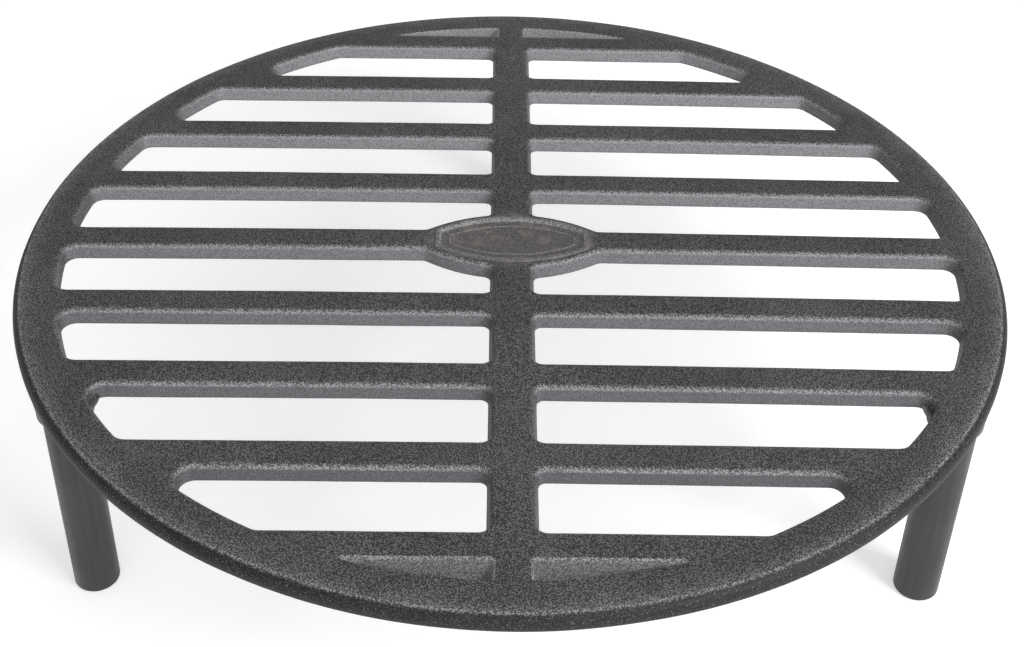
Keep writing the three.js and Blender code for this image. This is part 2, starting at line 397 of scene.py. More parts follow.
def combine(target: Object, tool: Object, operation: str) -> None:
    """Changes target by a Boolean operation with tool, which is used up."""
    step = target.modifiers.new(operation, "BOOLEAN")
    step.operation = operation
    step.object = tool
    step.solver = "EXACT"
    view = bpy.context.evaluated_depsgraph_get()
    result = bpy.data.meshes.new_from_object(target.evaluated_get(view))
    target.modifiers.clear()
    old, used = target.data, tool.data
    name = old.name
    target.data = result
    bpy.data.objects.remove(tool)
    bpy.data.batch_remove([old, used])
    result.name = name


def shade(piece: Object, sharp_angle: float) -> None:
    """Shades a piece smoothly, with a crease where faces meet at more than sharp_angle degrees."""
    mesh = piece.data
    mesh.shade_smooth()
    mesh.set_sharp_from_angle(angle=math.radians(sharp_angle))


# ---- node trees -----------------------------------------------------------------------------


class Canvas:
    """A node tree with short calls that place a node and join it up."""

    def __init__(self, tree: bpy.types.NodeTree) -> None:
        self.tree = tree

    def add(self, kind: str, inputs: dict | None = None, **settings: object) -> bpy.types.Node:
        """Places a node.

        Args:
            kind: the node's type, without the leading ShaderNode.
            inputs: for each input, by name or number, a value or the socket that feeds it.
            **settings: the node's own properties.

        Returns:
            The node.
        """
        node = self.tree.nodes.new(f"ShaderNode{kind}")
        for name, value in settings.items():
            setattr(node, name, value)
        for key, value in (inputs or {}).items():
            self.feed(node.inputs[key], value)
        return node

    def feed(self, socket: Socket, value: object) -> None:
        """Links a socket to another, or sets its value."""
        if isinstance(value, Socket):
            self.tree.links.new(value, socket)
        else:
            socket.default_value = value

    def math(self, operation: str, a: object, b: object = 0.0) -> Socket:
        """A calculation with two values, kept between 0 and 1."""
        return self.add("Math", {0: a, 1: b}, operation=operation, use_clamp=True).outputs[0]

    def scaled(self, value: object, span: Span, to: Span = (0.0, 1.0)) -> Socket:
        """A value spread smoothly from one span to another, and held at the ends."""
        spread = {"Value": value, "From Min": span[0], "From Max": span[1], "To Min": to[0], "To Max": to[1]}
        return self.add("MapRange", spread, interpolation_type="SMOOTHSTEP").outputs["Result"]

    def blend(self, factor: object, a: object, b: object, how: str = "MIX") -> Socket:
        """Colour a changed towards colour b by factor."""
        return self.add("Mix", {0: factor, 6: a, 7: b}, data_type="RGBA", blend_type=how).outputs[2]

    def mask(self, name: str) -> Socket:
        """One of the mesh's own masks."""
        return self.add("Attribute", attribute_name=name).outputs["Fac"]

    def place(self) -> Socket:
        """The place on the piece, in metres."""
        return self.add("TexCoord").outputs["Object"]


class GroupCanvas(Canvas):
    """The canvas of a new shader node group."""

    def __init__(self, name: str, inputs: dict[str, tuple[str, object]], outputs: dict[str, str]) -> None:
        """Starts the group.

        Args:
            name: name of the group.
            inputs: for each input, its kind of socket and its default.
            outputs: for each output, its kind of socket.
        """
        super().__init__(bpy.data.node_groups.new(name, "ShaderNodeTree"))
        for label, (kind, default) in inputs.items():
            socket = self.tree.interface.new_socket(label, in_out="INPUT", socket_type=f"NodeSocket{kind}")
            if default is not None:
                socket.default_value = default
        for label, kind in outputs.items():
            self.tree.interface.new_socket(label, in_out="OUTPUT", socket_type=f"NodeSocket{kind}")
        self._entry = self.tree.nodes.new("NodeGroupInput")
        self._exit = self.tree.nodes.new("NodeGroupOutput")

    def given(self, name: str) -> Socket:
        """What the material gives the group."""
        return self._entry.outputs[name]

    def give(self, name: str, value: Socket) -> None:
        """Gives the material one of the group's outputs."""
        self.feed(self._exit.inputs[name], value)

    def times(self, name: str, factor: float) -> Socket:
        """An input multiplied by a factor."""
        return self.add("Math", {0: self.given(name), 1: factor}, operation="MULTIPLY").outputs[0]


@cache
def grain_group() -> bpy.types.NodeTree:
    """The group for a grainy surface: fine grains, the knobs among them and a few bright flecks."""
    canvas = GroupCanvas(
        "Grain",
        {"Vector": ("Vector", None), "Fineness": ("Float", 1500.0)},
        {"Height": "Float", "Flecks": "Float"},
    )
    where = canvas.given("Vector")
    noise_inputs = {"Vector": where, "Scale": canvas.given("Fineness"), "Detail": 2.0, "Roughness": 0.65}
    grains = canvas.add("TexNoise", noise_inputs)
    knob_fineness = canvas.times("Fineness", 1.2)
    cells = canvas.add("TexVoronoi", {"Vector": where, "Scale": knob_fineness})
    knobs = canvas.scaled(cells.outputs["Distance"], (0.7, 0.0))
    knob_share = 0.45
    height = canvas.add("Mix", {0: knob_share, 2: grains.outputs["Fac"], 3: knobs}).outputs[0]
    chance = canvas.add("SeparateColor", {0: cells.outputs["Color"]}).outputs[0]
    core = canvas.scaled(cells.outputs["Distance"], (0.55, 0.15))
    chosen = canvas.scaled(chance, (0.82, 1.0))
    canvas.give("Height", height)
    canvas.give("Flecks", canvas.math("MULTIPLY", chosen, core))
    return canvas.tree


@cache
def smudge_group() -> bpy.types.NodeTree:
    """The group for slow changes of tone: broad clouds and smaller stains on top."""
    canvas = GroupCanvas(
        "Smudges",
        {"Vector": ("Vector", None), "Broadness": ("Float", 14.0)},
        {"Tone": "Float", "Stains": "Float"},
    )
    where = canvas.given("Vector")
    clouds = canvas.add("TexNoise", {"Vector": where, "Scale": canvas.given("Broadness"), "Detail": 3.0})
    finer = canvas.times("Broadness", 9.0)
    stains = canvas.add("TexNoise", {"Vector": where, "Scale": finer, "Detail": 4.0, "Roughness": 0.6})
    canvas.give("Tone", canvas.scaled(clouds.outputs["Fac"], (0.3, 0.7)))
    canvas.give("Stains", canvas.scaled(stains.outputs["Fac"], (0.45, 0.7)))
    return canvas.tree


def new_material(name: str) -> tuple[bpy.types.Material, Canvas]:
    """An empty node material and its canvas."""
    material = bpy.data.materials.new(name)
    material.use_nodes = True
    material.node_tree.nodes.clear()
    return material, Canvas(material.node_tree)


def use_group(canvas: Canvas, group: bpy.types.NodeTree, inputs: dict) -> bpy.types.Node:
    """Places a shader node group in a material."""
    node = canvas.tree.nodes.new("ShaderNodeGroup")
    node.node_tree = group
    for name, value in inputs.items():
        canvas.feed(node.inputs[name], value)
    return node


def opaque(colour: Colour) -> tuple[float, float, float, float]:
    """A colour as a node's four-part value."""
    return (*colour, 1.0)


# ---- finishes -------------------------------------------------------------------------------


@dataclass(frozen=True)
class Metal:
    """What the metals share: a grain, slow smudges and a look that is made of both."""

    name: str
    grain_fineness: float
    cloud_fineness: float
    roughness: Span
    metallic: float = 0.0
    specular: float = 0.5
    grain_depth: float = 0.0
    grain_strength: float = 1.0

    def material(self) -> bpy.types.Material:
        """Builds the material."""
        material, canvas = new_material(self.name)
        where = canvas.place()
        grain = use_group(canvas, grain_group(), {"Vector": where, "Fineness": self.grain_fineness})
        smudges = use_group(canvas, smudge_group(), {"Vector": where, "Broadness": self.cloud_fineness})
        colour, roughness = self.look(canvas, where, grain.outputs, smudges.outputs)
        inputs = {"Base Color": colour, "Roughness": roughness}
        inputs |= {"Metallic": self.metallic, "Specular IOR Level": self.specular}
        if self.grain_depth:
            relief = {"Distance": self.grain_depth, "Strength": self.grain_strength}
            relief["Height"] = grain.outputs["Height"]
            inputs["Normal"] = canvas.add("Bump", relief).outputs["Normal"]
        surface = canvas.add("BsdfPrincipled", inputs)
        canvas.add("OutputMaterial", {"Surface": surface.outputs["BSDF"]})
        return material

    def look(self, canvas: Canvas, where: Socket, grain: Sockets, smudges: Sockets) -> tuple[Socket, Socket]:
        """Lays out the colour and the roughness.

        Args:
            canvas: the material's canvas.
            where: the place on the piece.
            grain: what the grain group gives.
            smudges: what the smudge group gives.

        Returns:
            The sockets of the colour and of the roughness.
        """
        raise NotImplementedError


@dataclass(frozen=True)
class CastSkin(Metal):
    """Sand-cast iron: a dark granular skin and paler walls, with painted highlights on the edges that stand
    partly for edge wear, painted shade on the outer side and on the slot ends, and painted light that pales
    the walls towards the rear.

    The spans named after a part of the surface say between which heights of the grain it changes.
    """

    name: str = "cast_iron_skin"
    dark: Colour = (0.026, 0.026, 0.027)
    light: Colour = (0.15, 0.15, 0.156)
    # painted shade for the disc's outer side and the rim's roundings
    side: Colour = (0.009, 0.009, 0.0095)
    # painted light: the walls grow paler from the front rows to the rear ones
    front_wall_shaded: Colour = (0.1, 0.101, 0.109)
    rear_wall_lit: Colour = (0.3, 0.303, 0.318)
    # painted highlight, partly edge wear, on lips, rims, pocket edges and the plaque border
    rubbed_and_highlight: Colour = (0.34, 0.34, 0.345)
    rust: Colour = (0.16, 0.145, 0.138)
    glint: Colour = (0.24, 0.24, 0.25)
    grain_fineness: float = 1350.0
    grain_depth: float = 0.00011
    grain_strength: float = 0.9
    cloud_fineness: float = 16.0
    cloud_contrast: Span = (0.88, 1.12)
    rust_cover: Span = (0.35, 0.85)
    wall_painted_light_stretch: Span = (-0.19, 0.17)  # from the front walls' y to the rear walls', in metres
    skin_span: Span = (0.28, 0.62)
    side_shade_span: Span = (0.3, 0.62)
    side_shade_cover: Span = (1.0, 0.7)
    wall_span: Span = (0.24, 0.56)
    wall_cover: Span = (0.55, 1.0)
    edge_wear_and_highlight_span: Span = (0.26, 0.58)
    edge_wear_and_highlight_cover: Span = (0.15, 1.0)
    glint_cover: float = 0.6
    gloss_span: Span = (0.3, 0.7)
    roughness: Span = (0.55, 0.72)
    specular: float = 0.3

    def look(self, canvas: Canvas, where: Socket, grain: Sockets, smudges: Sockets) -> tuple[Socket, Socket]:
        """Lays out the skin, then covers it where the mesh's masks say so."""
        height = grain["Height"]
        skin = canvas.blend(canvas.scaled(height, self.skin_span), opaque(self.dark), opaque(self.light))
        tone = canvas.scaled(smudges["Tone"], (0.0, 1.0), self.cloud_contrast)
        grey = canvas.add("CombineColor", {0: tone, 1: tone, 2: tone}).outputs[0]
        skin = canvas.blend(1.0, skin, grey, "MULTIPLY")
        stains = canvas.scaled(smudges["Stains"], (0.0, 1.0), self.rust_cover)
        skin = canvas.blend(canvas.math("MULTIPLY", stains, canvas.mask("plaque")), skin, opaque(self.rust))
        # Painted light: the wall tone pales along y from the front walls to the rear ones.
        depth = canvas.add("SeparateXYZ", {0: where}).outputs["Y"]
        rearward_painted_light = canvas.scaled(depth, self.wall_painted_light_stretch)
        wall_tone_with_painted_light = canvas.blend(rearward_painted_light, opaque(self.front_wall_shaded), opaque(self.rear_wall_lit))
        # side paints shade on the outer side, wall lays the paler walls with their painted light and shade,
        # and edge lays a painted highlight that stands partly for wear.
        for mask, span, cover, colour in (
            ("side", self.side_shade_span, self.side_shade_cover, opaque(self.side)),
            ("wall", self.wall_span, self.wall_cover, wall_tone_with_painted_light),
            ("edge", self.edge_wear_and_highlight_span, self.edge_wear_and_highlight_cover, opaque(self.rubbed_and_highlight)),
        ):
            amount = canvas.math("MULTIPLY", canvas.mask(mask), canvas.scaled(height, span, cover))
            skin = canvas.blend(amount, skin, colour)
        glints = canvas.math("MULTIPLY", grain["Flecks"], self.glint_cover)
        skin = canvas.blend(glints, skin, opaque(self.glint))
        return skin, canvas.scaled(height, self.gloss_span, self.roughness)


@dataclass(frozen=True)
class BarSteel(Metal):
    """Mill-finish round bar: satin grey with faint streaks along it."""

    name: str = "leg_bar_steel"
    dark: Colour = (0.044, 0.044, 0.044)
    light: Colour = (0.058, 0.058, 0.058)
    streak_fineness: float = 420.0
    streak_stretch: float = 0.045
    streak_span: Span = (0.35, 0.65)
    cloud_share: float = 0.5
    cloud_fineness: float = 30.0
    grain_fineness: float = 2600.0
    grain_depth: float = 0.00003
    grain_strength: float = 0.5
    roughness: Span = (0.5, 0.4)
    metallic: float = 0.55

    def look(self, canvas: Canvas, where: Socket, grain: Sockets, smudges: Sockets) -> tuple[Socket, Socket]:
        """Lays out the streaks and the clouds."""
        drawn = canvas.add("Mapping", {"Vector": where, "Scale": (1.0, 1.0, self.streak_stretch)}).outputs[0]
        streaks = canvas.add("TexNoise", {"Vector": drawn, "Scale": self.streak_fineness, "Detail": 3.0})
        lines = canvas.scaled(streaks.outputs["Fac"], self.streak_span)
        mixed = canvas.add("Mix", {0: self.cloud_share, 2: lines, 3: smudges["Tone"]}).outputs[0]
        skin = canvas.blend(mixed, opaque(self.dark), opaque(self.light))
        return skin, canvas.scaled(mixed, (0.0, 1.0), self.roughness)


@dataclass(frozen=True)
class ThreadSteel(Metal):
    """Bright steel of the threaded studs, with a little oil left in it."""

    name: str = "stud_thread_steel"
    bright: Colour = (0.46, 0.46, 0.48)
    oiled: Colour = (0.2, 0.19, 0.17)
    grain_fineness: float = 3200.0
    cloud_fineness: float = 90.0
    gloss_span: Span = (0.2, 0.8)
    roughness: Span = (0.25, 0.42)
    metallic: float = 0.9

    def look(self, canvas: Canvas, where: Socket, grain: Sockets, smudges: Sockets) -> tuple[Socket, Socket]:
        """Lays out the oil stains."""
        skin = canvas.blend(smudges["Stains"], opaque(self.bright), opaque(self.oiled))
        return skin, canvas.scaled(grain["Height"], self.gloss_span, self.roughness)


@dataclass(frozen=True)
class StudioWhite:
    """The pale floor, which is lit like any surface and helped to white where the camera looks."""

    name: str = "studio_white"
    colour: Colour = (0.8, 0.8, 0.8)
    help_strength: float = 0.45
    paper_fineness: float = 900.0
    paper_depth: float = 0.00002
    paper_strength: float = 0.2

    def material(self) -> bpy.types.Material:
        """Builds the material."""
        material, canvas = new_material(self.name)
        fibres = {"Vector": canvas.place(), "Scale": self.paper_fineness, "Detail": 2.0}
        paper = canvas.add("TexNoise", fibres).outputs["Fac"]
        relief = {"Height": paper, "Distance": self.paper_depth, "Strength": self.paper_strength}
        bump = canvas.add("Bump", relief)
        rays = canvas.add("LightPath").outputs
        seen = canvas.math("ADD", rays["Is Camera Ray"], rays["Is Glossy Ray"])
        seen = canvas.math("ADD", seen, rays["Is Transmission Ray"])
        strength = canvas.math("MULTIPLY", seen, self.help_strength)
        lit = canvas.add("BsdfDiffuse", {"Color": opaque(self.colour), "Normal": bump.outputs["Normal"]})
        help_light = canvas.add("Emission", {"Strength": strength})
        both = canvas.add("AddShader", {0: lit.outputs[0], 1: help_light.outputs[0]})
        canvas.add("OutputMaterial", {"Surface": both.outputs[0]})
        return material


# ---- the casting ----------------------------------------------------------------------------


@dataclass
class GratePlate:
    """The casting: a slotted disc with a spine, a plaque, four pockets and three bosses."""

    legs: list[NodeBox]
    studs: list[NodeBox]
    box: NodeBox = field(default_factory=lambda: NodeBox.of("grate_plate"))
    border_rise: float = 0.6
    thickness: float = 6.5
    rim_top_round: float = 4.0
    rim_low_round: float = 1.5
    pitch: float = 43.0
    slot_width: float = 29.0
    rows: int = 8
    slot_end_radius: float = 186.3
    spine_width: float = 16.0
    lip: float = 2.0
    draft: float = 1.0
    under_round: float = 0.5
    outer_corner: float = 6.0
    inner_corner: float = 4.0
    pocket_depth: float = 3.3
    pocket_radius: float = 187.0
    pocket_bar_slope: float = 6.2
    pocket_spine_slope: float = 4.6
    pocket_rim_slope: float = 1.6
    pocket_corner: float = 1.6
    pocket_tip: float = 0.8
    plaque_half_length: float = 36.0
    plaque_half_width: float = 18.8
    plaque_end: float = 35.0
    plaque_join: float = 5.0
    plaque_end_round: float = 2.0
    plaque_edge: float = 2.5
    border_width: float = 2.2
    field_depth: float = 0.8
    inner_line_inset: float = 3.6
    inner_line_rise: float = 0.35
    boss_fillet: float = 2.5
    boss_edge: float = 1.8
    boss_wall: float = 1.7
    boss_overlap: float = 1.0
    boss_setback: float = 0.15
    rim_segments: int = 288
    crown: float = 1.2
    under_crown: float = 1.3
    waviness: float = 0.12
    wave_lengths: Span = (38.0, 7.0)
    quick_share: float = 0.3
    noise_seed: int = 7
    spacing: float = 5.0
    end_share_in_painted_shade: float = 0.15
    pocket_bareness: float = 0.8

    def __post_init__(self) -> None:
        """Works out the levels and half widths that the methods share."""
        self.radius = self.box.radius
        self.top = self.box.high.z - self.border_rise
        self.under = self.top - self.thickness
        self.boss_bottom = self.box.low.z
        self.half_slot = self.slot_width / 2
        self.half_bar = (self.pitch - self.slot_width) / 2
        self.half_spine = self.spine_width / 2

    def slot_corners(self, middle: float) -> list[Corner]:
        """Corners of the slot in the rear right quarter whose centre line is at y = middle.

        The outer end follows a circle. It is one corner, rounded with the circle's own radius,
        between the places where the roundings beside it touch the circle.
        """
        near, far = middle - self.half_slot, middle + self.half_slot
        radius, corner = self.slot_end_radius, self.outer_corner
        start = math.asin((near + corner) / (radius - corner))
        end = math.asin((far - corner) / (radius - corner))
        reach = radius / math.cos((end - start) / 2)
        halfway = (start + end) / 2
        return [
            (self.half_spine, near, self.inner_corner),
            ((radius - near * math.sin(start)) / math.cos(start), near, corner),
            (reach * math.cos(halfway), reach * math.sin(halfway), radius),
            ((radius - far * math.sin(end)) / math.cos(end), far, corner),
            (self.half_spine, far, self.inner_corner),
        ]

    def plaque_arc(self) -> tuple[float, float]:
        """Radius of the plaque's rear edge and the y of its centre."""
        rise = self.plaque_half_width - self.half_bar
        radius = (self.plaque_half_length**2 + rise**2) / (2 * rise)
        return radius, self.plaque_half_width - radius

    def plaque_slot_corners(self) -> list[Corner]:
        """Corners of the slot beside the plaque, whose edge follows the plaque's arc.

        The tangents at the arc's ends meet in one corner, rounded with the arc's own radius.
        """
        radius, centre_y = self.plaque_arc()
        start_x = self.half_spine + self.inner_corner
        end_x = self.plaque_half_length - self.plaque_join / 2
        start, end = math.asin(start_x / radius), math.asin(end_x / radius)
        start_y = centre_y + radius * math.cos(start)
        end_y = centre_y + radius * math.cos(end)
        middle = (start + end) / 2
        reach = radius / math.cos((end - start) / 2)
        return [
            (self.half_spine, start_y + self.inner_corner * math.tan(start), self.inner_corner),
            (reach * math.sin(middle), centre_y + reach * math.cos(middle), radius),
            (end_x + (end_y - self.half_bar) / math.tan(end), self.half_bar, self.plaque_join),
            *self.slot_corners(self.pitch / 2)[1:],
        ]

    def plaque_corners(self, inset: float) -> list[Corner]:
        """Corners of the plaque's outline, narrowed by inset: a lens with blunt ends."""
        radius, centre_y = self.plaque_arc()
        arc = radius - inset
        end_x = self.plaque_end - inset
        slope = math.asin((end_x - self.plaque_end_round) / arc)
        edge_y = centre_y + arc / math.cos(slope)
        end_y = edge_y - end_x * math.tan(slope)
        blunt = self.plaque_end_round
        half = [(end_x, -end_y, blunt), (end_x, end_y, blunt), (0.0, edge_y, arc)]
        return half + turned_about(half)

    def pocket_corners(self, floor: bool) -> list[Corner]:
        """Corners of the mouth or the floor of the pocket in the rear right quarter."""
        spine = self.half_spine - self.lip
        bar = self.pitch * self.rows / 2 + self.half_bar - self.lip
        radius, corner, tip = self.pocket_radius, self.pocket_corner, self.pocket_tip
        if floor:
            spine, bar = spine + self.pocket_spine_slope, bar + self.pocket_bar_slope
            radius, corner, tip = radius - self.pocket_rim_slope, corner / 2, tip / 4
        return self._wedge(spine, bar, radius, corner, tip)

    @staticmethod
    def _wedge(spine: float, bar: float, radius: float, corner: float, tip: float) -> list[Corner]:
        """Corners of a wedge between a line x = spine, a line y = bar and a circle.

        Args:
            spine: x of the side along the spine.
            bar: y of the side along the bar.
            radius: radius of the circle.
            corner: rounding of the two corners at the spine.
            tip: rounding of the sharp outer corner.

        Returns:
            The four corners. The arc is one of them, rounded with its own radius.
        """
        room = 2 * corner
        far = math.sqrt(radius**2 - bar**2)
        start = math.asin((far - 2.2 * tip * radius / far) / radius)
        end = math.asin((spine + room) / radius)
        middle = (start + end) / 2
        reach = radius / math.cos((start - end) / 2)
        tip_x = radius * math.sin(start) + (radius * math.cos(start) - bar) / math.tan(start)
        top_y = radius * math.cos(end) + room * math.tan(end)
        return [
            (spine, bar, corner),
            (tip_x, bar, tip),
            (reach * math.sin(middle), reach * math.cos(middle), radius),
            (spine, top_y, corner),
        ]

    def build(self) -> Object:
        """Builds the whole casting.

        Returns:
            The object, in the row frame.
        """
        draft = MeshDraft()
        slots = [self._slot(draft, corners) for corners in self._all_slots()]
        holes_top, holes_under = (list(rings) for rings in zip(*slots))
        mouths, floors = (in_four_quarters(self.pocket_corners(floor)) for floor in (False, True))
        for mouth, floor in zip(mouths, floors):
            holes_top.append(self._pocket(draft, mouth, floor))
        holes_top.append(self._plaque(draft))
        rim_top, rim_under = self._rim(draft)
        draft.fill([rim_top, *holes_top], self.spacing, self.top, up=True)
        draft.fill([rim_under, *holes_under], self.spacing, self.under, up=False)
        plate = draft.to_object("grate_plate_casting", self._settle)
        for leg in self.legs:
            combine(plate, self._boss(leg), "UNION")
        for leg, stud in zip(self.legs, self.studs):
            combine(plate, self._tapped_hole(leg, stud), "DIFFERENCE")
        shade(plate, 38)
        return plate

    def _all_slots(self) -> list[list[Corner]]:
        """Corner lists of all the slots."""
        middles = [self.pitch * (row + 0.5) for row in range(self.rows // 2)]
        quarter = [self.plaque_slot_corners(), *(self.slot_corners(middle) for middle in middles[1:])]
        return [corners for one in quarter for corners in in_four_quarters(one)]

    def _slot(self, draft: MeshDraft, corners: list[Corner]) -> tuple[np.ndarray, np.ndarray]:
        """Adds one slot's lip and walls.

        Args:
            draft: the casting.
            corners: the slot's corners.

        Returns:
            The ring on the top face and the ring on the underside.
        """
        outline = Outline.rounded(corners, self.spacing)
        # Painted shade: walls and lips that face along x keep only a share of the wall and edge paint, so
        # the slot ends look shaded.
        bare = self.end_share_in_painted_shade + (1 - self.end_share_in_painted_shade) * np.abs(outline.normals[:, 1])
        rings = []
        for spread, rise in reversed(quarter_round(self.lip, 6)):
            # edge: a painted highlight over the lip's rounding, partly edge wear
            edge = math.sin(math.pi * rise / self.lip) ** 0.7 if 0 < rise < self.lip else 0.0
            wall = 1.0 if rise < self.lip * 0.55 else 0.0
            level = self.top - self.lip + rise
            rings.append(draft.ring(outline.ring(spread), level, edge=edge * bare, wall=wall * bare))
        lowest = self.under + self.under_round
        for share in (0.35, 0.7, 1.0):
            height = (self.top - self.lip) * (1 - share) + lowest * share
            rings.append(draft.ring(outline.ring(-self.draft * share), height, wall=bare))
        for spread, rise in quarter_round(self.under_round, 2)[1:]:
            wall = 1.0 if rise < 0.4 else 0.0
            rings.append(draft.ring(outline.ring(spread - self.draft), lowest - rise, wall=wall * bare))
        draft.bands(rings)
        return rings[0], rings[-1]

    def _rim(self, draft: MeshDraft) -> tuple[np.ndarray, np.ndarray]:
        """Adds the rounded rim. Returns its ring on the top face and its ring on the underside."""
        circle = Outline.circle(self.radius, self.rim_segments)
        rings = []
        # The side mask paints shade over the outer side and its roundings; the edge mask paints a highlight
        # line near the top of the upper rounding.
        for spread, rise in reversed(quarter_round(self.rim_low_round, 3)):
            level = self.under + self.rim_low_round - rise
            rings.append(draft.ring(circle.ring(-spread), level, side=1.0 - rise / self.rim_low_round))
        start = self.top - self.rim_top_round
        for spread, rise in quarter_round(self.rim_top_round, 12):
            steep = rise / self.rim_top_round
            edge = max(0.0, 1 - abs(steep - 0.96) / 0.06)
            side = min(1.0, max(0.0, (0.97 - steep) / 0.12))
            rings.append(draft.ring(circle.ring(-spread), start + rise, edge=edge, side=side))
        draft.bands(rings)
        return rings[-1], rings[0]

    def _pocket(self, draft: MeshDraft, mouth: list[Corner], floor: list[Corner]) -> np.ndarray:
        """Adds one blind pocket. Returns its ring on the top face."""
        along_bar, along_spine = 18, 8
        sides = (along_bar, 12, 12, along_spine)
        unmirrored = mouth[0][0] * mouth[0][1] > 0
        counts = sides if unmirrored else (*sides[2::-1], along_spine)
        upper, lower = Outline.matched(mouth, counts), Outline.matched(floor, counts)
        # The edge mask paints highlight lines along the pocket's mouth and near its floor, and a little over
        # the floor.
        slope = [  # share of the way from the mouth to the floor, share of the depth, edge mask
            (-0.08, 0.0, 0.0), (-0.02, 0.04, 1.0), (0.06, 0.1, 1.0), (0.2, 0.23, 0.4),
            (0.6, 0.64, 0.25), (0.85, 0.9, 0.3), (0.94, 0.98, 0.5), (1.0, 1.0, 0.6),
        ]
        rings = []
        for share, sink, edge in slope:
            wall = self.pocket_bareness if share > 0 else 0.0
            level = self.top - self.pocket_depth * sink
            rings.append(draft.ring(upper + (lower - upper) * share, level, edge=edge, wall=wall))
        draft.bands(rings)
        bottom = self.top - self.pocket_depth
        draft.fill([rings[-1]], self.spacing / 3, bottom, up=True, edge=0.4, wall=self.pocket_bareness)
        return rings[0]

    def _plaque(self, draft: MeshDraft) -> np.ndarray:
        """Adds the plaque's border, inner line and bare field. Returns the ring on the top face."""
        rise, width, field_level = self.border_rise, self.border_width, -self.field_depth
        line, line_top = width + self.inner_line_inset, field_level + self.inner_line_rise
        # The edge mask paints a highlight on the border's inner side.
        profile = [  # distance from the outer edge, height above the top face, edge mask
            (0.0, 0.0, 0.0), (0.25, rise * 0.5, 0.2), (0.6, rise, 0.3), (width * 0.75, rise, 0.5),
            (width, rise * 0.6, 1.0), (width + 0.4, field_level * 0.5, 1.0), (width + 0.9, field_level, 0.1),
            (line, field_level, 0.0), (line + 0.3, line_top, 0.5), (line + 0.8, line_top, 0.5),
            (line + 1.1, field_level, 0.0),
        ]
        rings = []
        for inset, lift, edge in profile:
            outline = Outline.matched(self.plaque_corners(self.plaque_edge + inset), (8, 16, 16) * 2)
            rings.append(draft.ring(outline, self.top + lift, edge=edge, plaque=1.0))
        draft.bands(rings)
        draft.fill([rings[-1]], 1.6, self.top - self.field_depth, up=True, plaque=1.0)
        return rings[0]

    def _settle(self, points: np.ndarray) -> np.ndarray:
        """Gives the flat plate its slight crown and the unevenness of a sand casting.

        Args:
            points: the points of the flat plate.

        Returns:
            The points of the cooled casting.
        """
        settled = points.copy()
        noise.seed_set(self.noise_seed)
        share = np.clip((points[:, 2] - self.under) / self.thickness, 0.0, 1.0)
        away = (points[:, 0] ** 2 + points[:, 1] ** 2) / self.radius**2
        settled[:, 2] -= away * (self.crown * share + self.under_crown * (1 - share))
        for number, place in enumerate(points):
            slow, quick = (noise.noise_vector(Vector(place) / length) for length in self.wave_lengths)
            settled[number] += np.array(slow * self.waviness + quick * self.waviness * self.quick_share)
        reach = np.hypot(settled[:, 0], settled[:, 1])
        settled[:, :2] *= np.minimum(1.0, self.radius / np.maximum(reach, 1e-6))[:, None]
        settled[:, 2] = np.minimum(settled[:, 2], self.box.high.z)
        return settled

    def _boss(self, leg: NodeBox) -> Object:
        """A boss for a leg, with a fillet that runs into the underside."""
        room = self.radius - math.hypot(leg.centre.x, leg.centre.y)
        radius = min(room, leg.radius + self.boss_wall) - 0.05
        base, root = radius - self.boss_edge, self.under + self.boss_overlap
        flare = self.under - self.boss_fillet
        boss = turned("boss", [
            (0.0, self.boss_bottom),
            *((base + rise, self.boss_bottom + spread) for spread, rise in quarter_round(self.boss_edge, 5)),
            *((radius + spread, flare + rise) for spread, rise in quarter_round(self.boss_fillet, 6)),
            (radius + self.boss_fillet, root), (0.0, root),
        ], 72, leg.centre)
        edge = self.radius - self.boss_setback
        outer = [(0.0, 0.0), (edge, 0.0), (edge, self.top), (0.0, self.top)]
        combine(boss, turned("limit", outer, self.rim_segments, Vector()), "INTERSECT")
        return boss

    def _tapped_hole(self, leg: NodeBox, stud: NodeBox) -> Object:
        """The cutter of a boss's tapped hole, which follows the stud's thread with a little room."""
        thread = Thread(stud.radius + 0.2, low=self.boss_bottom - 1.0, high=stud.high.z + 0.5)
        return thread.build("tapped_hole", leg.centre)


# ---- legs and studs -------------------------------------------------------------------------


